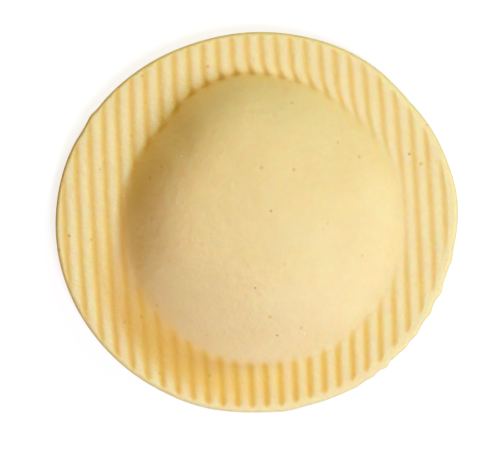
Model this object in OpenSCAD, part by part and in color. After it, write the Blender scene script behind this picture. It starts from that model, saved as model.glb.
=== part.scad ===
// Round ridged raviolo: two discs of fresh pasta dough pressed together round a mound of filling.
// X runs across the ridges, Y runs along them and Z is up.
// The origin is the middle of the flat underside, which rests on the board.

/* [Outline] */
// Long way of the oval disc, about across the ridges
disc_w = 60; // [54:0.5:68]
// Short way of the oval disc, where the dough shrank back along the way it was rolled
disc_l = 57; // [52:0.5:66]
// Turn of the oval against the ridges, in degrees
disc_turn = 3.5; // [-10:0.5:10]

/* [Dough] */
// Thickness of the bottom sheet
bottom_t = 1.1; // [0.9:0.05:1.6]
// Thickness of the top sheet at its ridges
top_t = 1.15; // [0.95:0.05:1.6]
// Thickness of the top sheet where it is stretched over the filling
wall_t = 0.95; // [0.7:0.05:1.3]

/* [Pressed edge] */
// How far in from the edge the top is rounded over
edge_w = 0.6; // [0.4:0.05:0.7]
// How far down from the ridges the rounding reaches
edge_h = 0.75; // [0.5:0.05:0.8]
// Bevel under the edge, where the disc was cut on the board
under_bevel = 0.2; // [0.1:0.05:0.4]
// Depth of the fine crease where the two sheets meet at the edge
crease_d = 0.1; // [0.05:0.01:0.13]

/* [Ridges] */
// Distance from the middle groove to the next
ridge_pitch = 2.245; // [1.9:0.005:2.5]
// How much narrower each further step is than the one before it
ridge_closing = 0.0115; // [0:0.0005:0.015]
// How far the middle groove lies off the middle of the disc
ridge_shift = 0.26; // [-1:0.02:1]
// Depth of the grooves
groove_d = 0.45; // [0.3:0.05:0.55]
// Width of a groove's floor
floor_w = 0.35; // [0.2:0.05:0.5]
// Width of the flat crown of a ridge
crown_w = 0.5; // [0.3:0.05:0.7]
// Plain band between the edge and the ends of the grooves
rim_band = 0.8; // [0.6:0.05:1.4]
// Length over which a groove runs out at its ends
groove_ramp = 0.6; // [0.3:0.05:1]
// How much the outermost grooves lean towards each other, in degrees
ridge_fan = 0.5; // [0:0.1:1.5]

/* [Pocket] */
// Width of the dome across the ridges, at the tops of the ridges
dome_w = 42.2; // [36:0.2:44]
// Length of the dome along the ridges, at the tops of the ridges
dome_l = 43.4; // [38:0.2:46]
// Rise of the dome above the ridges
dome_h = 9.6; // [7:0.1:12]
// How far the dome sits off the middle, across the ridges
dome_dx = 0.4; // [-1.5:0.1:1.5]
// How far the dome sits off the middle, along the ridges
dome_dy = 0.3; // [-1.5:0.1:1.5]
// Fullness of the crown: 2 is a plain paraboloid and more is flatter on top
crown_fullness = 2.5; // [2.2:0.1:4]
// Softness of the shoulder: less makes a steeper wall
shoulder_softness = 1; // [0.7:0.05:1]
// How far the foot of the dome spreads at the tops of the ridges
foot_w = 0.35; // [0.2:0.05:0.6]
// Height above the ridges at which the foot starts to spread
foot_h = 0.9; // [0.6:0.1:1.5]

/* [Filling] */
// Air left between the filling and the dome over it
filling_gap = 0.15; // [0.1:0.05:0.6]

/* [Hidden] */
$fn = 96;

// Heights above the board
seam_z = bottom_t;
crown_z = seam_z + top_t;
clear = 0.5;

// A ridge is rounded by a circle that meets its crown and the groove's floor
flank_x = (ridge_pitch - floor_w) / 2;
flank_drop = (pow(flank_x, 2) + pow(groove_d, 2) - pow(crown_w / 2, 2)) / (2 * groove_d);
flank_r = sqrt(pow(crown_w / 2, 2) + pow(flank_drop, 2));
groove_w = ridge_pitch - crown_w / 2;

// The grooves that the disc has room for, numbered from the middle one
groove_reach = disc_w / 2 - rim_band - groove_ramp;
groove_limit = ceil(disc_w / ridge_pitch);
grooves = [for (i = [-groove_limit:groove_limit]) if (abs(groove_x(i)) < groove_reach) i];

// Insets of the dome's wall, the pocket under it and the filling from the foot of the dome
wall_inset = foot_w;
pocket_inset = wall_inset + wall_t;
filling_inset = pocket_inset + filling_gap;
pocket_h = top_t + dome_h - wall_t;
filling_h = pocket_h - filling_gap;
foot_hold = 0.15;
foot_depth = groove_d + foot_hold;
crown_flat = 1;
dome_steps = 14;
foot_steps = 5;
edge_steps = 5;
last_share = 0.96;
core_share = 0.6;

dough = "#f0dca6";
dough_under = "#ead39a";
cheese = "#efe9d6";

// An oval is four round turns, two across X and two across Y, that meet smoothly.
// They meet along the slope of a 3-4-5 triangle through the middles of both turns.
// Each entry gives how far a turn's middle lies towards it, its radius and its slope.
function oval_turns(half_x, half_y) = let (d = half_x - half_y) [
    [1.5 * d, half_x - 1.5 * d, [3, 4]],
    [-2 * d, half_y + 2 * d, [4, 3]]
];

// Radius of the tighter turns of an oval
function oval_r(half_x, half_y) = min([for (t = oval_turns(half_x, half_y)) t[1]]);

// Height of a dome of height h at a share s of its radius
function rise(h, s) = h * pow(1 - pow(s, crown_fullness), shoulder_softness);

// Share of its radius that a dome of height h still has at height z
function share_at(h, z) = pow(1 - pow(max(z, 0) / h, 1 / shoulder_softness), 1 / crown_fullness);

// Shares of the radius at which a dome is sampled, from its rim to its crown: closer near the rim
shares = [for (i = [dome_steps:-1:0]) pow(i / dome_steps, 0.6)];

// Section of a plain mound of height h, whose slope is run long and stands inset from the rim
function mound_section(inset, run, h) = [for (s = shares) [inset + run * (1 - s), rise(h, s)]];

// How far inside its rim the dome's skin lies at height z above the ridges
function dome_inset(run, z) =
    wall_inset + run * (1 - share_at(dome_h, z)) - foot_w * pow(max(0, 1 - z / foot_h), 2);

// Section of the dome from the seam to its crown; z = 0 is at the ridges
function dome_section(run) = let (foot_top = rise(dome_h, last_share)) concat(
    [[dome_inset(run, -foot_depth), -top_t]],
    [for (i = [0:foot_steps - 1])
        let (z = -foot_depth + (foot_top + foot_depth) * i / foot_steps) [dome_inset(run, z), z]],
    [for (s = shares) let (z = rise(dome_h, last_share * s)) [dome_inset(run, z), z]]
);

// Section of the top sheet's edge: creased at the seam and rounded over at the top
function top_edge_section() = concat(
    [[crease_d, 0], [0, crease_d]],
    [for (i = [0:edge_steps]) let (a = 90 * i / edge_steps)
        [edge_w * (1 - cos(a)), top_t - edge_h * (1 - sin(a))]]
);

// Section of the bottom sheet's edge: bevelled at the board and creased at the seam
function bottom_edge_section() = [
    [under_bevel, 0], [0, under_bevel], [0, bottom_t - crease_d], [crease_d, bottom_t]
];

// Place of a groove across the ridges: the steps narrow outwards
function groove_x(i) = i * (ridge_pitch - ridge_closing * (abs(i) - 1) / 2) + ridge_shift;

// Rounds to a thousandth of a millimetre, so that the turns of an oval meet exactly
function neat(v) = round(v * 1000) / 1000;

// Sweeps a section round an oval; each of its points is [distance in from the rim, height]
module round_oval(half_x, half_y, section) {
    foot_z = neat(section[0][1]);
    top_z = neat(section[len(section) - 1][1]);
    for (quarter = [0:3]) {
        turn = oval_turns(half_x, half_y)[quarter % 2];
        r = turn[1];
        slope = turn[2] * r / 2;
        rotate([0, 0, 90 * quarter])
            translate([turn[0], 0, 0])
                intersection() {
                    rotate_extrude()
                        polygon(concat(
                            [for (p = section) [r - neat(p[0]), neat(p[1])]],
                            [[0, top_z], [0, foot_z]]
                        ));
                    translate([0, 0, foot_z - clear])
                        linear_extrude(height = top_z - foot_z + 2 * clear)
                            polygon([[0, 0], [slope[0], -slope[1]], [slope[0], slope[1]]]);
                }
    }
    // A core inside the four turns, which only meet, ties them into one body
    core_h = (top_z - foot_z) / 4;
    translate([0, 0, foot_z + core_h]) cylinder(r = core_share * min(half_x, half_y), h = core_h);
}

// Sweeps a section round the disc, at height z
module round_disc(z, section) {
    translate([0, 0, z]) rotate([0, 0, disc_turn]) round_oval(disc_w / 2, disc_l / 2, section);
}

// Sweeps a section round the foot of the dome, at height z
module round_dome(z, section) {
    translate([dome_dx, dome_dy, z]) round_oval(dome_w / 2, dome_l / 2, section);
}

// Length of the slope of a mound that stands inset from the foot of the dome
function dome_run(inset) = oval_r(dome_w / 2, dome_l / 2) - inset - crown_flat;

// Section of one groove between two rounded ridges, with the ridges' crowns at y = 0
module groove_section() {
    difference() {
        translate([-groove_w / 2, -groove_d]) square([groove_w, groove_d + clear]);
        for (side = [-1, 1]) translate([side * ridge_pitch / 2, -flank_drop]) circle(r = flank_r);
    }
}

// All the grooves, leaning a little towards each other, at full length
module groove_pattern() {
    for (i = grooves)
        translate([neat(groove_x(i)), 0, crown_z])
            rotate([0, 0, ridge_fan * groove_x(i) / groove_reach])
                rotate([90, 0, 0])
                    linear_extrude(height = disc_w, center = true) groove_section();
}

// The oval in which the grooves stay, sloped so that they run out before the edge
module groove_field() {
    slope = groove_ramp / groove_d;
    below = groove_d + clear;
    above = clear / 2;
    round_disc(crown_z, [[rim_band + slope * below, -below], [rim_band - slope * above, above]]);
}

// Disc of ridged dough, before the dome is pressed up in it
module ridged_disc() {
    difference() {
        round_disc(seam_z, top_edge_section());
        intersection() {
            groove_pattern();
            groove_field();
        }
    }
}

// Upper sheet of dough: a ridged flange round a smooth, hollow dome
module top_sheet() {
    color(dough)
        difference() {
            union() {
                ridged_disc();
                round_dome(crown_z, dome_section(dome_run(wall_inset)));
            }
            round_dome(seam_z, mound_section(pocket_inset, dome_run(pocket_inset), pocket_h));
        }
}

// Lower sheet of dough, flat on the board
module bottom_sheet() {
    color(dough_under) round_disc(0, bottom_edge_section());
}

// Mound of filling on the lower sheet, under the dome
module filling() {
    color(cheese)
        round_dome(seam_z, mound_section(filling_inset, dome_run(filling_inset), filling_h));
}

bottom_sheet();
filling();
top_sheet();
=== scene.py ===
import math

import bpy
import numpy as np
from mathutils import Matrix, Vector


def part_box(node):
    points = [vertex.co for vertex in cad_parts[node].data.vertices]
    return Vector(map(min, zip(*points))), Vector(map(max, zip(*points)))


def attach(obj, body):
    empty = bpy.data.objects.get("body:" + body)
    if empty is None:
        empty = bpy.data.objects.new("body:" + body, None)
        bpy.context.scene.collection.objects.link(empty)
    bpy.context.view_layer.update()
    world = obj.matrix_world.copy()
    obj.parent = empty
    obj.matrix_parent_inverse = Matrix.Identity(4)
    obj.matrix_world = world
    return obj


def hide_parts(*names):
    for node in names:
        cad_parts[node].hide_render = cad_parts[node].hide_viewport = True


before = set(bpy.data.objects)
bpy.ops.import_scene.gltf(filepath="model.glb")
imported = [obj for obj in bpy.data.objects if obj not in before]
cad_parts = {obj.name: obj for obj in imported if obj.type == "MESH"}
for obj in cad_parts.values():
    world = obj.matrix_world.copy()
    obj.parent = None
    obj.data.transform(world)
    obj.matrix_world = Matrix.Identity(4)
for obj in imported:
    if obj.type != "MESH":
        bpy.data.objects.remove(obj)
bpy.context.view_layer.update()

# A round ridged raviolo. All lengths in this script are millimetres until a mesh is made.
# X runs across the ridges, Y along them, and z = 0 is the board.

MM = 0.001
PHOTO_W, PHOTO_H = 500, 449


def node_box(name):
    """Lowest and highest corner of a CAD node, in millimetres."""
    low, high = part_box(name)
    return np.array(low) / MM, np.array(high) / MM


bottom_low, bottom_high = node_box("bottom_sheet")
top_high = node_box("top_sheet")[1]
fill_low, fill_high = node_box("filling")

# The ridges lean this much in the photograph
PHOTO_ROLL = math.radians(3.3)

# Heights
SEAM_Z = bottom_high[2]
TOP_T = 1.15
CROWN_Z = SEAM_Z + TOP_T
DOME_H = top_high[2] - CROWN_Z

# The disc, as an oval turned against the ridges
DISC_A, DISC_B = (bottom_high[:2] - bottom_low[:2]) / 2
DISC_TURN = math.radians(3.5)
EDGE_W = 0.65
EDGE_H = 0.8
CREASE = 0.1
UNDER_BEVEL = 0.2
# The lower sheet lies this far inside the upper one's edge, give or take as much, and bulges a little
LOWER_INSET = 0.03
LOWER_WAVES = (0.03, 8, 11)
LOWER_WAVES_R = 30
LOWER_BULGE = 0.04

# Hand-made unevenness of the cut edge: (degrees round the disc, width in degrees, millimetres out)
DENTS = (
    (3, 11, 0.35), (36, 9, -0.34), (60, 10, 0.08), (105, 12, -0.10), (115, 42, -0.20),
    (140.5, 2.0, -0.05), (144, 1.8, 0.13), (149, 3.0, -0.10), (158, 9, 0.05), (208, 22, -0.10),
    (250, 8, 0.13), (276, 4, 0.17), (294, 9, 0.12), (298, 2.2, 0.13), (303.7, 1.3, 0.20),
    (308.6, 1.3, 0.30), (310.6, 0.5, -0.10), (316.7, 1.4, 0.20), (321.8, 1.7, 0.25),
    (329, 1.8, 0.28), (333, 13, -0.25), (335.8, 1.9, 0.32), (345.6, 1.6, 0.16),
)

# The dome and the pocket under it
FILL_GAP = 0.15
WALL_T = 0.95
DOME_MID = (fill_low[:2] + fill_high[:2]) / 2
POCKET = (fill_high[:2] - fill_low[:2]) / 2 + FILL_GAP
POCKET_H = fill_high[2] - SEAM_Z + FILL_GAP
WALL = POCKET + WALL_T
CROWN_POWER = 2.5
PEAK = (-3.0, 1.2)
# From this share of the foot's distance outwards the wall runs straight down
WALL_SHARE = 0.97
# Unevenness of the dome's foot, written like the dents of the edge
FOOT_DENTS = (
    (14, 9, 0.35), (45, 16, -0.32), (93, 12, 0.43), (130, 12, -0.95), (150, 18, -1.12),
    (186, 22, -0.75), (225, 16, -0.2), (272, 10, -0.2), (316, 8, -0.2), (352, 12, 0.25),
)
# A low swelling on the dome's left flank: its middle, its radius and its height
SWELLING = (-15.4, -4.7, 5.5, 0.6)

# From here on, a triple of an amount, an azimuth and a narrowness is something that holds on one
# side of the dome only. The azimuth is in degrees, anticlockwise from the photograph's right.

# The dome is fuller on its left, most of all at its upper left, where its wall is steeper
FULLER_LEFT = (0.45, 150, 2)
FULLER_CORNER = (0.65, 138, 10)
# The foot runs out into the flange softly, most of all on the left
FOOT_BLEND = 0.45
SOFT_LEFT = (1.8, 190, 5)
SOFT_RIGHT = (0.9, -20, 3)

# The grooves: their number counts up across the ridges, a little faster away from the middle,
# and faster on the right than on the left
PITCH = 2.259
CROWDING = 4.5e-5
SKEW = 1.3e-4
GROOVE_SHIFT = -0.05
GROOVE_D = 0.11
GROOVE_HALF = 0.235
# They are shallower at the upper right and where shadow is painted beside the dome
SHALLOW_RIGHT = (0.4, 30, 2)
SHALLOW_IN_PAINTED_SHADOW = 0.5
# They run out towards the edge, and on the lower right a plain band is left
GROOVE_RAMP = 0.9
PLAIN_BAND = (0.9, -30, 2)
# They fade in from this far inside the dome's foot, over this length, and more slowly on the right
FADE_INSIDE = 0.5
FADE_LENGTH = 0.5
FADE_LATER = 0.2
FADE_SLOWER = 2.4
FADE_RIGHT = (1, -12, 2)
# They bend towards the right where they run up to the dome's upper side
GROOVE_BEND = (0.7, 58, 4)
BEND_LENGTH = 1.2
# They end there in small pits, which flare towards the dome
PIT_D = 0.2
PIT_SIDE = (1, 98, 6)
PIT_HALF = 0.15
PIT_FLARE = 0.19
FLARE_LENGTH = 0.5
PIT_PLACE = 0.2
PIT_LENGTH = 0.8
PIT_INSIDE = 0.6

# Slow waves in the dough: height, length and seed
FLANGE_WAVES = (0.02, 9, 3)
DOME_WAVES = (0.035, 13, 5)
# The dome's waves have their full height from this height up
WAVES_FROM = 2
FILLING_WAVES = (0.02, 4, 17)
FILLING_SUNK = 0.06

# Painted shadow beside the dome's lower left, where the dome shades the flange from the fill light. It
# reaches this far out and fades over this length.
PAINTED_SHADOW = (0.73, 234, 8)
PAINTED_SHADOW_REACH = 7.4
PAINTED_SHADOW_FADE = 3.4
# It starts this far inside the foot, over this length, and reaches up the dome on the left, as painted
# shade there too
PAINTED_SHADOW_INSIDE = 0.3
PAINTED_SHADOW_START = 1.0
PAINTED_SHADOW_UP = 2.9
PAINTED_SHADOW_UP_START = 4.5
PAINTED_SHADOW_UP_SIDE = (1, 205, 8)
# Painted shade along the dome's foot, strongest at its upper left: how strong, where and how wide
FOOT_SHADE = (0.4, 120, 2)
FOOT_SHADE_PLACE = 0.1
FOOT_SHADE_HALF = 0.9
# How gold the grooves are: partly the dough's own deeper tone, partly painted shade in the grooves; and how
# much more and less so at the bottom and on the right, which is painted shade alone
GROOVE_GOLD_AND_SHADE = 0.68
MORE_SHADE_BELOW = (0.34, -80, 5)
LESS_SHADE_RIGHT = (0.18, 10, 3)
# How gold the cut edge is, partly drier dough and partly painted shade on its rounded rim, more so on the
# upper left, which faces away from the light; and how far in
EDGE_GOLD_AND_SHADE = 0.35
EDGE_SHADE_LEFT = (0.25, 130, 1)
EDGE_BAND_HALF = 0.45
# Painted shade in the grooves at the bottom: how strong, where and how narrow
GROOVE_SHADE_BELOW = (0.3, 258, 5)

# Fineness of the meshes
TURNS = 880
DOME_RINGS = 34
FLANGE_RINGS = 52
EDGE_RINGS = 9
LOWER_TURNS = 480
FILLING_TURNS = 300
# The dome's rings end a little past its foot, and are closer together near it
DOME_RINGS_END = 1.03
DOME_RINGS_POWER = 0.75
# Rings of the pocket and of the filling, from the foot inwards and from the middle outwards
POCKET_SHARES = (0.99, 0.95, 0.88, 0.78, 0.64, 0.46, 0.25)
FILLING_SHARES = (0.06, 0.14, 0.24, 0.34, 0.44, 0.54, 0.64, 0.73, 0.81, 0.88, 0.94, 0.98)
# Steps in which the peak's shift and the distance to the edge are found
PEAK_STEPS = 12
RIM_STEPS = 20
# The upper skin of the top sheet starts this far above the seam
SKIN_FROM = 0.2


def ripple(x, y, wave, seed, count=14):
    """Smooth seeded unevenness of about unit height, with waves about this long."""
    rng = np.random.default_rng(seed)
    total = np.zeros_like(x)
    for _ in range(count):
        way = rng.uniform(0, 2 * math.pi)
        length = wave * rng.uniform(0.7, 1.5)
        start = rng.uniform(0, 2 * math.pi)
        total += np.sin(2 * math.pi * (x * math.cos(way) + y * math.sin(way)) / length + start)
    return total * math.sqrt(2 / count)


def waves(x, y, height, wave, seed):
    """Smooth seeded unevenness of about this height."""
    return height * ripple(x, y, wave, seed)


def smooth_step(t):
    t = np.clip(t, 0, 1)
    return t * t * (3 - 2 * t)


def bump_at(distance, half):
    """1 where the distance is 0, falling softly to 0 over about this half width."""
    return np.exp(-((distance / half) ** 2))


def oval_radius(half_x, half_y, angle):
    return half_x * half_y / np.hypot(half_y * np.cos(angle), half_x * np.sin(angle))


def dented(radius, angle, dents):
    """A radius with gentle dents and bulges in it."""
    for where, width, height in dents:
        off = (np.degrees(angle) - where + 180) % 360 - 180
        radius = radius + height * bump_at(off, width)
    return radius


def rim_radius(angle):
    """Distance from the disc's middle to its cut edge, in this direction."""
    return dented(oval_radius(DISC_A, DISC_B, angle - DISC_TURN), angle, DENTS)


def wall_radius(angle):
    """Distance from the dome's middle to the foot of its wall, in this direction."""
    return dented(oval_radius(WALL[0], WALL[1], angle), angle, FOOT_DENTS)


def inside_rim(x, y):
    """How far a point lies inside the cut edge."""
    return rim_radius(np.arctan2(y, x)) - np.hypot(x, y)


def edge_drop(inset):
    """How far the rounded rim lies under the ridges, at this distance inside the edge."""
    share = np.clip(1 - inset / EDGE_W, 0, 1)
    return EDGE_H * (1 - np.sqrt(1 - share ** 2))


def dome_share(x, y):
    """0 at the dome's peak and 1 at the foot of its wall; the rings between them shift to the peak."""
    dx, dy = x - DOME_MID[0], y - DOME_MID[1]
    share = np.ones_like(dx)
    for _ in range(PEAK_STEPS):
        near = 1 - np.clip(share, 0, 1)
        ux, uy = dx - PEAK[0] * near, dy - PEAK[1] * near
        share = np.hypot(ux, uy) / wall_radius(np.arctan2(uy, ux))
    return share


def past_foot(x, y):
    """How far a point lies outside the dome's foot."""
    return (dome_share(x, y) - 1) * np.mean(WALL)


def beside(x, y, amount, azimuth, narrowness):
    """The amount on this side of the dome, falling to 0 on the other: the sooner, the narrower."""
    way = np.arctan2(y - DOME_MID[1], x - DOME_MID[0]) + PHOTO_ROLL - math.radians(azimuth)
    return amount * (0.5 + 0.5 * np.cos(way)) ** narrowness


def groove_off(x, y):
    """Distance from the nearest groove, as a share of the pitch."""
    near_foot = bump_at(np.maximum(past_foot(x, y), 0), BEND_LENGTH)
    x = x - near_foot * beside(x, y, *GROOVE_BEND)
    number = x * (1 + CROWDING * (x * x + y * y)) / PITCH + SKEW * x * x + GROOVE_SHIFT
    return np.abs(number - np.round(number))


def ridged(x, y):
    """0 on the dome and 1 where the ridges are full: they fade in slowly on the right."""
    right = beside(x, y, *FADE_RIGHT)
    into = past_foot(x, y) + FADE_INSIDE - FADE_LATER * right
    return smooth_step(into / (FADE_LENGTH + FADE_SLOWER * right))


def groove_shape(x, y):
    """How deep the grooves are at a point, from 0 on a ridge to 1 in a groove."""
    shape = bump_at(groove_off(x, y), GROOVE_HALF)
    run_out = 1 - smooth_step((inside_rim(x, y) - beside(x, y, *PLAIN_BAND)) / GROOVE_RAMP)
    return np.clip(shape - run_out, 0, 1) * ridged(x, y)


def pits(x, y):
    """Small pits where the grooves end at the upper side of the dome's foot."""
    past = past_foot(x, y)
    groove = bump_at(groove_off(x, y), PIT_HALF + PIT_FLARE * bump_at(past, FLARE_LENGTH))
    along = bump_at(past - PIT_PLACE, PIT_LENGTH) * smooth_step((past + PIT_INSIDE) / PIT_INSIDE)
    return groove * along * beside(x, y, *PIT_SIDE)


def dome_rise(x, y):
    """Height of the dome's skin over the ridges; it runs on down past its foot."""
    share = dome_share(x, y)
    power = CROWN_POWER + beside(x, y, *FULLER_LEFT) + beside(x, y, *FULLER_CORNER)
    held = np.minimum(share, WALL_SHARE)
    steep = DOME_H * power * WALL_SHARE ** (power - 1)
    mid_x, mid_y, radius, height = SWELLING
    swelling = height * bump_at(np.hypot(x - mid_x, y - mid_y), radius)
    return DOME_H * (1 - held ** power) - steep * (share - held) + swelling


def top_height(x, y):
    """Height of the top sheet's upper surface."""
    depth = GROOVE_D * (1 - beside(x, y, *SHALLOW_RIGHT) - SHALLOW_IN_PAINTED_SHADOW * painted_shade(x, y))
    flange = waves(x, y, *FLANGE_WAVES) - depth * groove_shape(x, y) - edge_drop(inside_rim(x, y))
    dome = dome_rise(x, y)
    dome = dome + waves(x, y, *DOME_WAVES) * np.clip(dome / WAVES_FROM, 0, 1)
    blend = FOOT_BLEND + beside(x, y, *SOFT_LEFT) + beside(x, y, *SOFT_RIGHT)
    mix = np.clip(0.5 + (dome - flange) / (2 * blend), 0, 1)
    skin = flange + (dome - flange) * mix + blend * mix * (1 - mix)
    return CROWN_Z + skin - PIT_D * pits(x, y)


def painted_shade(x, y):
    """Where shade is painted: a line along the dome's foot, and a painted shadow beside its lower left."""
    past = past_foot(x, y)
    up = beside(x, y, *PAINTED_SHADOW_UP_SIDE)
    start = smooth_step((past + PAINTED_SHADOW_INSIDE + PAINTED_SHADOW_UP * up) / (PAINTED_SHADOW_START + PAINTED_SHADOW_UP_START * up))
    zone = start * smooth_step((PAINTED_SHADOW_REACH - past) / PAINTED_SHADOW_FADE) * beside(x, y, *PAINTED_SHADOW)
    foot = bump_at(past - FOOT_SHADE_PLACE, FOOT_SHADE_HALF) * beside(x, y, *FOOT_SHADE)
    return np.maximum(zone, foot)


def gold_and_painted_shade(x, y):
    """How gold the dough is made: in its grooves, partly its own tone and partly painted shade; where shade
    and shadow are painted by the dome; and along its cut edge, partly drier dough and partly painted shade.
    """
    in_grooves = GROOVE_GOLD_AND_SHADE + beside(x, y, *MORE_SHADE_BELOW) - beside(x, y, *LESS_SHADE_RIGHT)
    grooves = groove_shape(x, y) * in_grooves
    edge = (EDGE_GOLD_AND_SHADE + beside(x, y, *EDGE_SHADE_LEFT)) * bump_at(inside_rim(x, y), EDGE_BAND_HALF)
    return 1 - (1 - grooves) * (1 - painted_shade(x, y)) * (1 - edge)


def pit_and_groove_shade(x, y):
    """Painted shade, brownish: in the pits, and a little in the grooves at the bottom."""
    return np.maximum(pits(x, y), groove_shape(x, y) * beside(x, y, *GROOVE_SHADE_BELOW))


def floury(x, y):
    """How floury the dough is: most of all on the crests of the ridges, and less where shade is painted."""
    return (1 - groove_shape(x, y)) * ridged(x, y) * (1 - painted_shade(x, y))


def turn_angles(count):
    """This many directions all round, in radians."""
    return np.arange(count) * 2 * math.pi / count


def reach_to_rim(inset, angles):
    """Distance from the dome's middle to a line this far inside the cut edge."""
    reach = np.full(len(angles), DISC_B)
    for _ in range(RIM_STEPS):
        x, y = ring(reach, angles)
        reach = reach + inside_rim(x, y) - inset
    return reach


def ring(reach, angles):
    """Points at this distance from the dome's middle."""
    return DOME_MID[0] + reach * np.cos(angles), DOME_MID[1] + reach * np.sin(angles)


def level_ring(reach, angles, height):
    """Ring at this distance from the dome's middle and at one height."""
    x, y = ring(reach, angles)
    return x, y, np.full(len(angles), height)


def mound_ring(foot, share, height, angles):
    """Ring of a mound under the dome's skin, at this share of its foot's distance from its peak."""
    near = 1 - share
    x, y, z = level_ring(foot * share, angles, SEAM_Z + height * (1 - share ** CROWN_POWER))
    return x + PEAK[0] * near, y + PEAK[1] * near, z


def skin_rings(name, rings):
    """Closed mesh over a stack of rings, with a cap over the first and the last."""
    count = len(rings[0][0])
    points = np.concatenate([np.stack(r, axis=1) for r in rings])
    first_mid = points[:count].mean(axis=0)
    last_mid = points[-count:].mean(axis=0)
    points = np.concatenate([points, [first_mid, last_mid]]) * MM
    steps = np.arange(count)
    after = (steps + 1) % count
    faces = []
    for i in range(len(rings) - 1):
        inner, outer = i * count, (i + 1) * count
        quads = np.stack([inner + steps, outer + steps, outer + after, inner + after], axis=1)
        faces += quads.tolist()
    first, last = len(points) - 2, len(points) - 1
    base = (len(rings) - 1) * count
    faces += np.stack([np.full(count, first), steps, after], axis=1).tolist()
    faces += np.stack([np.full(count, last), base + after, base + steps], axis=1).tolist()
    mesh = bpy.data.meshes.new(name)
    mesh.from_pydata(points.tolist(), [], faces)
    mesh.polygons.foreach_set("use_smooth", [True] * len(mesh.polygons))
    mesh.update()
    piece = bpy.data.objects.new(name, mesh)
    bpy.context.scene.collection.objects.link(piece)
    return piece


def store(piece, name, values):
    """Keeps one number for each point of a mesh, for its material to read."""
    layer = piece.data.attributes.new(name, "FLOAT", "POINT")
    layer.data.foreach_set("value", np.asarray(values, dtype=float))


def make_top_sheet():
    """The upper sheet: dome, ridged flange and rounded rim, then back in along its underside."""
    angles = turn_angles(TURNS)
    wall = wall_radius(angles)
    foot = wall * DOME_RINGS_END
    brow = reach_to_rim(EDGE_W, angles)
    rim = reach_to_rim(0, angles)
    pocket = wall - WALL_T
    reaches = [foot * (i / DOME_RINGS) ** DOME_RINGS_POWER for i in range(1, DOME_RINGS + 1)]
    reaches += [foot + (brow - foot) * i / FLANGE_RINGS for i in range(1, FLANGE_RINGS + 1)]
    for i in range(1, EDGE_RINGS + 1):
        inset = EDGE_W * (1 - math.sin(math.pi / 2 * i / EDGE_RINGS))
        reaches.append(reach_to_rim(inset, angles))
    rings = []
    for reach in reaches:
        x, y = ring(reach, angles)
        rings.append((x, y, top_height(x, y)))
    for inset, height in ((0, CREASE), (0.4 * CREASE, 0.4 * CREASE), (CREASE, 0)):
        rings.append(level_ring(rim - inset, angles, SEAM_Z + height))
    for share in (0.5, 1.0):
        rings.append(level_ring(rim + (pocket - rim) * share, angles, SEAM_Z))
    for share in POCKET_SHARES:
        rings.append(mound_ring(pocket, share, POCKET_H, angles))
    piece = skin_rings("top_sheet_dough", rings)
    flat = np.array([v.co[:] for v in piece.data.vertices]) / MM
    outer = flat[:, 2] > SEAM_Z + SKIN_FROM
    x, y = flat[:, 0], flat[:, 1]
    # These carry painted shade and shadow to the material, as well as the dough's own tone and flour
    store(piece, "gold_and_painted_shade", gold_and_painted_shade(x, y) * outer)
    store(piece, "flour", floury(x, y) * outer)
    store(piece, "pit_and_groove_shade", pit_and_groove_shade(x, y) * outer)
    return piece


def make_bottom_sheet():
    """The lower sheet: flat, bevelled at the board and creased at the seam."""
    angles = turn_angles(LOWER_TURNS)
    wave_x, wave_y = LOWER_WAVES_R * np.cos(angles), LOWER_WAVES_R * np.sin(angles)
    rim = reach_to_rim(0, angles) - LOWER_INSET + waves(wave_x, wave_y, *LOWER_WAVES)
    levels = [(rim * share, SEAM_Z) for share in (0.15, 0.6, 0.9)]
    levels += [(rim - CREASE, SEAM_Z), (rim - 0.3 * CREASE, SEAM_Z - 0.4 * CREASE), (rim, SEAM_Z - CREASE)]
    for share in (0.75, 0.5, 0.25):
        bulge = LOWER_BULGE * math.sin(math.pi * share)
        levels.append((rim + bulge, UNDER_BEVEL + (SEAM_Z - CREASE - UNDER_BEVEL) * share))
    for turn in (0, 30, 60, 90):
        a = math.radians(turn)
        levels.append((rim - UNDER_BEVEL * (1 - math.cos(a)), UNDER_BEVEL * (1 - math.sin(a))))
    levels += [(rim * share, 0) for share in (0.9, 0.6, 0.15)]
    return skin_rings("bottom_sheet_dough", [level_ring(reach, angles, height) for reach, height in levels])


def make_filling():
    """The mound of filling: it fills the pocket but for a thin gap."""
    angles = turn_angles(FILLING_TURNS)
    foot = wall_radius(angles) - WALL_T - FILL_GAP
    rings = []
    for share in FILLING_SHARES:
        x, y, z = mound_ring(foot, share, POCKET_H - FILL_GAP, angles)
        rings.append((x, y, z - FILLING_SUNK - waves(x, y, *FILLING_WAVES)))
    for share in (1.0, 0.5):
        rings.append(level_ring(foot * share, angles, SEAM_Z))
    return skin_rings("filling_mound", rings)


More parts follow.
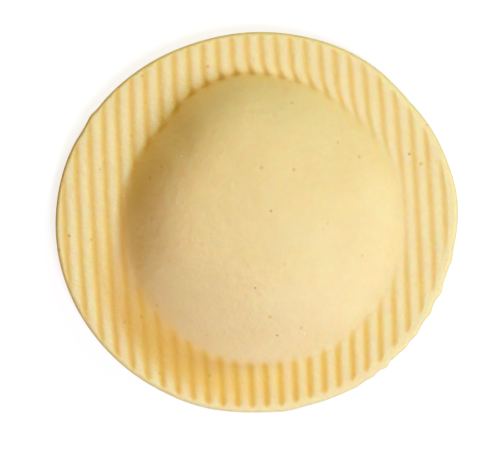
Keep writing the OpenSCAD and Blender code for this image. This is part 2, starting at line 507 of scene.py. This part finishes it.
class Nodes:
    """Small helper that adds nodes to one material."""

    def __init__(self, name):
        self.material = bpy.data.materials.new(name)
        self.material.use_nodes = True
        self.tree = self.material.node_tree
        self.tree.nodes.clear()

    def add(self, kind, inputs=None, **settings):
        node = self.tree.nodes.new(kind)
        for key, value in settings.items():
            setattr(node, key, value)
        for key, value in (inputs or {}).items():
            if isinstance(value, bpy.types.NodeSocket):
                self.tree.links.new(value, node.inputs[key])
            else:
                node.inputs[key].default_value = value
        return node

    def place(self):
        """Places on the piece itself, in metres."""
        return self.add("ShaderNodeTexCoord").outputs["Object"]

    def stored(self, name):
        """The number that the mesh keeps for each point under this name."""
        return self.add("ShaderNodeAttribute", attribute_name=name).outputs["Fac"]

    def noise(self, place, scale, detail=3.0, roughness=0.55):
        node = self.add("ShaderNodeTexNoise", {
            "Vector": place, "Scale": scale, "Detail": detail, "Roughness": roughness,
        })
        return node.outputs["Fac"]

    def ramp(self, value, low, high, out_low=0.0, out_high=1.0):
        node = self.add("ShaderNodeMapRange", {
            0: value, 1: low, 2: high, 3: out_low, 4: out_high,
        }, interpolation_type="SMOOTHSTEP")
        return node.outputs[0]

    def math(self, operation, a, b=0.0):
        return self.add("ShaderNodeMath", {0: a, 1: b}, operation=operation).outputs[0]

    def mix(self, factor, a, b):
        return self.add("ShaderNodeMix", {0: factor, 6: a, 7: b}, data_type="RGBA").outputs[2]

    def tint(self, colour, where, strength, other):
        """The colour, turned into the other one by up to this strength."""
        return self.mix(self.math("MULTIPLY", where, strength), colour, other)

    def dots(self, place, scale, low, high, share, seed):
        """Sparse round dots: this share of the cells holds one, about high of a cell across."""
        shift = (seed, seed * 0.7, seed * 1.3)
        moved = self.add("ShaderNodeVectorMath", {0: place, 1: shift}, operation="ADD")
        cells = self.add("ShaderNodeTexVoronoi", {"Vector": moved.outputs[0], "Scale": scale})
        near = self.ramp(cells.outputs["Distance"], low, high, 1.0, 0.0)
        kept = self.add("ShaderNodeSeparateColor", {0: cells.outputs["Color"]})
        chosen = self.math("LESS_THAN", kept.outputs[0], share)
        return self.math("MULTIPLY", near, chosen)

    def finish(self, shader):
        """Sends the shader to the surface."""
        self.add("ShaderNodeOutputMaterial", {"Surface": shader.outputs[0]})
        return self.material


def rgb(red, green, blue):
    """A colour written as it shows on screen, from 0 to 255, made linear."""
    def linear(value):
        value /= 255
        return value / 12.92 if value <= 0.04045 else ((value + 0.055) / 1.055) ** 2.4
    return linear(red), linear(green), linear(blue), 1.0


# Colours of the dough: its body, paler clouds in it, floury crests and its gold, which stands both for its
# deeper tone and for painted shade and shadow; clouds is how strong the small clouds are
TOP_DOUGH = {
    "body": rgb(235, 214, 162), "pale": rgb(240, 223, 176),
    "crest": rgb(254, 231, 192), "gold_and_shade_colour": rgb(246, 201, 93), "clouds": 0.35,
}
BOTTOM_DOUGH = {
    "body": rgb(236, 208, 140), "pale": rgb(243, 226, 182),
    "crest": rgb(243, 226, 182), "gold_and_shade_colour": rgb(238, 190, 84), "clouds": 0.6,
}
# Brown of the painted shade in the pits and in the grooves at the bottom
SHADE_BROWN = rgb(202, 160, 66)
BRAN = rgb(210, 140, 56)
FLECK = rgb(226, 172, 82)
SEMOLINA = rgb(252, 246, 226)
CHEESE = rgb(246, 241, 224)
WHEY = rgb(226, 214, 180)
HERB = rgb(84, 112, 52)


def dough_material(name, body, pale, crest, gold_and_shade_colour, clouds):
    """Fresh egg dough: blotchy, a little translucent, with specks of bran and grains of semolina."""
    n = Nodes(name)
    place = n.place()
    blotch = n.ramp(n.noise(place, 95, 4), 0.35, 0.68)
    cloud = n.ramp(n.noise(place, 320, 5, 0.6), 0.38, 0.7)
    mottle = n.ramp(n.noise(place, 1100, 4, 0.6), 0.3, 0.7)
    bran = n.dots(place, 330, 0.04, 0.09, 0.12, 0.31)
    fleck = n.dots(place, 420, 0.05, 0.17, 0.26, 0.83)
    grain = n.dots(place, 420, 0.06, 0.11, 0.03, 0.47)
    colour = n.tint(body, blotch, 0.55, pale)
    colour = n.tint(colour, cloud, clouds, pale)
    colour = n.tint(colour, n.stored("flour"), 0.85, crest)
    # The gold: partly the dough's own tone in the grooves and at the drier edge, partly painted shade in
    # the grooves, along the foot and the rim, and a painted shadow beside the dome's lower left
    colour = n.mix(n.stored("gold_and_painted_shade"), colour, gold_and_shade_colour)
    # Painted shade in the pits and in the grooves at the bottom
    colour = n.tint(colour, n.stored("pit_and_groove_shade"), 0.6, SHADE_BROWN)
    colour = n.tint(colour, mottle, 0.12, gold_and_shade_colour)
    colour = n.tint(colour, bran, 0.6, BRAN)
    colour = n.tint(colour, fleck, 0.5, FLECK)
    colour = n.tint(colour, grain, 0.9, SEMOLINA)
    fine = n.noise(place, 3600, 3, 0.7)
    medium = n.noise(place, 750, 4, 0.55)
    height = n.math("ADD", n.math("MULTIPLY", fine, 0.18), medium)
    height = n.math("ADD", height, n.math("MULTIPLY", grain, 0.6))
    height = n.math("SUBTRACT", height, n.math("MULTIPLY", bran, 0.5))
    bump = n.add("ShaderNodeBump", {"Strength": 0.7, "Distance": 0.00028, "Height": height})
    rough = n.ramp(medium, 0.3, 0.7, 0.5, 0.66)
    return n.finish(n.add("ShaderNodeBsdfPrincipled", {
        "Base Color": colour, "Roughness": rough, "Normal": bump.outputs[0],
        "Subsurface Weight": 1.0, "Subsurface Radius": (1.0, 0.5, 0.2), "Subsurface Scale": 0.0015,
        "Specular IOR Level": 0.2, "IOR": 1.45,
    }))


def filling_material():
    """Moist crumbly cheese with flecks of herb."""
    n = Nodes("filling_cheese")
    place = n.place()
    crumbs = n.add("ShaderNodeTexVoronoi", {"Vector": place, "Scale": 700}).outputs["Distance"]
    herb = n.dots(place, 420, 0.12, 0.2, 0.14, 0.19)
    colour = n.mix(n.ramp(crumbs, 0.0, 0.7), CHEESE, WHEY)
    colour = n.tint(colour, herb, 0.85, HERB)
    height = n.math("ADD", crumbs, n.noise(place, 1800))
    bump = n.add("ShaderNodeBump", {"Strength": 0.6, "Distance": 0.0003, "Height": height})
    return n.finish(n.add("ShaderNodeBsdfPrincipled", {
        "Base Color": colour, "Roughness": 0.45, "Normal": bump.outputs[0],
        "Subsurface Weight": 0.4, "Subsurface Radius": (1.0, 0.9, 0.7), "Subsurface Scale": 0.001,
    }))


# The floor, in metres: half its width and its height, just under the board's
FLOOR_HALF = 3.0
FLOOR_Z = -0.00002
FLOOR_GREY = 0.25
FLOOR_GLOW = 0.8
WHITE = (1.0, 1.0, 1.0, 1.0)


def make_floor():
    """A plain pale floor, white to the camera where no shadow falls."""
    corners = ((-1, -1), (1, -1), (1, 1), (-1, 1))
    mesh = bpy.data.meshes.new("floor")
    mesh.from_pydata([(x * FLOOR_HALF, y * FLOOR_HALF, FLOOR_Z) for x, y in corners], [], [(0, 1, 2, 3)])
    floor = bpy.data.objects.new("floor", mesh)
    bpy.context.scene.collection.objects.link(floor)
    n = Nodes("floor_white")
    path = n.add("ShaderNodeLightPath").outputs
    mirrored = n.math("MAXIMUM", path["Is Glossy Ray"], path["Is Transmission Ray"])
    seen = n.math("MAXIMUM", path["Is Camera Ray"], mirrored)
    shade = n.add("ShaderNodeBsdfDiffuse", {"Color": (FLOOR_GREY, FLOOR_GREY, FLOOR_GREY, 1.0)})
    glow = n.add("ShaderNodeEmission", {"Color": WHITE, "Strength": n.math("MULTIPLY", seen, FLOOR_GLOW)})
    mesh.materials.append(n.finish(n.add("ShaderNodeAddShader", {0: shade.outputs[0], 1: glow.outputs[0]})))


def make_world(ambient):
    """White to the camera and through what is clear, and a soft even light for the rest."""
    world = bpy.data.worlds.new("studio")
    world.use_nodes = True
    bpy.context.scene.world = world
    tree = world.node_tree
    tree.nodes.clear()
    path = tree.nodes.new("ShaderNodeLightPath")
    either = tree.nodes.new("ShaderNodeMath")
    either.operation = "MAXIMUM"
    tree.links.new(path.outputs["Is Camera Ray"], either.inputs[0])
    tree.links.new(path.outputs["Is Transmission Ray"], either.inputs[1])
    mix = tree.nodes.new("ShaderNodeMixShader")
    tree.links.new(either.outputs[0], mix.inputs[0])
    for i, colour in ((1, (*ambient, 1.0)), (2, WHITE)):
        light = tree.nodes.new("ShaderNodeBackground")
        light.inputs["Color"].default_value = colour
        light.inputs["Strength"].default_value = 1.0
        tree.links.new(light.outputs[0], mix.inputs[i])
    out = tree.nodes.new("ShaderNodeOutputWorld")
    tree.links.new(mix.outputs[0], out.inputs[0])


def add_softbox(name, azimuth, elevation, size, watts, colour, away):
    """A square soft light; azimuth is counted in the photograph, anticlockwise from its right."""
    lamp = bpy.data.lights.new(name, "AREA")
    lamp.shape = "SQUARE"
    lamp.size = size
    lamp.energy = watts
    lamp.color = colour
    place = bpy.data.objects.new(name, lamp)
    bpy.context.scene.collection.objects.link(place)
    a = math.radians(azimuth) - PHOTO_ROLL
    e = math.radians(elevation)
    way = Vector((math.cos(e) * math.cos(a), math.cos(e) * math.sin(a), math.sin(e)))
    place.location = way * away
    place.rotation_euler = way.to_track_quat("Z", "Y").to_euler()


# Each light: azimuth, elevation, size in metres, watts, colour and distance in metres
KEY = (-55, 47, 0.5, 16.0, (0.59, 0.70, 1.0), 1.25)
FILL = (54, 30, 0.10, 2.1, (0.70, 0.94, 0.85), 0.7)
AMBIENT = (0.435, 0.27, 0.035)

# Where the disc's middle lies in the photograph, and how many pixels a millimetre takes there
DISC_PIXEL = (255.7, 221.8)
PIXELS_A_MM = 6.7
LENS = 180.0
SENSOR = 36.0


def make_camera():
    """Looks straight down, as the photograph does."""
    data = bpy.data.cameras.new("camera")
    data.lens = LENS
    data.sensor_width = SENSOR
    camera = bpy.data.objects.new("camera", data)
    bpy.context.scene.collection.objects.link(camera)
    bpy.context.scene.camera = camera
    away = PHOTO_W / PIXELS_A_MM * LENS / SENSOR
    right = (PHOTO_W / 2 - DISC_PIXEL[0]) / PIXELS_A_MM
    up = (DISC_PIXEL[1] - PHOTO_H / 2) / PIXELS_A_MM
    c, s = math.cos(-PHOTO_ROLL), math.sin(-PHOTO_ROLL)
    camera.location = Vector((right * c - up * s, right * s + up * c, CROWN_Z + away)) * MM
    camera.rotation_euler = (0, 0, -PHOTO_ROLL)


for piece, node, slot, look in (
    (make_top_sheet(), "top_sheet", "dough_top", dough_material("dough_top", **TOP_DOUGH)),
    (make_bottom_sheet(), "bottom_sheet", "dough_bottom", dough_material("dough_bottom", **BOTTOM_DOUGH)),
    (make_filling(), "filling", "filling", filling_material()),
):
    piece.data.materials.append(look)
    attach(piece, "root")
    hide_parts(node)

make_floor()
make_world(AMBIENT)
add_softbox("key", *KEY)
add_softbox("fill", *FILL)
make_camera()

scene = bpy.context.scene
scene.view_settings.view_transform = "Standard"
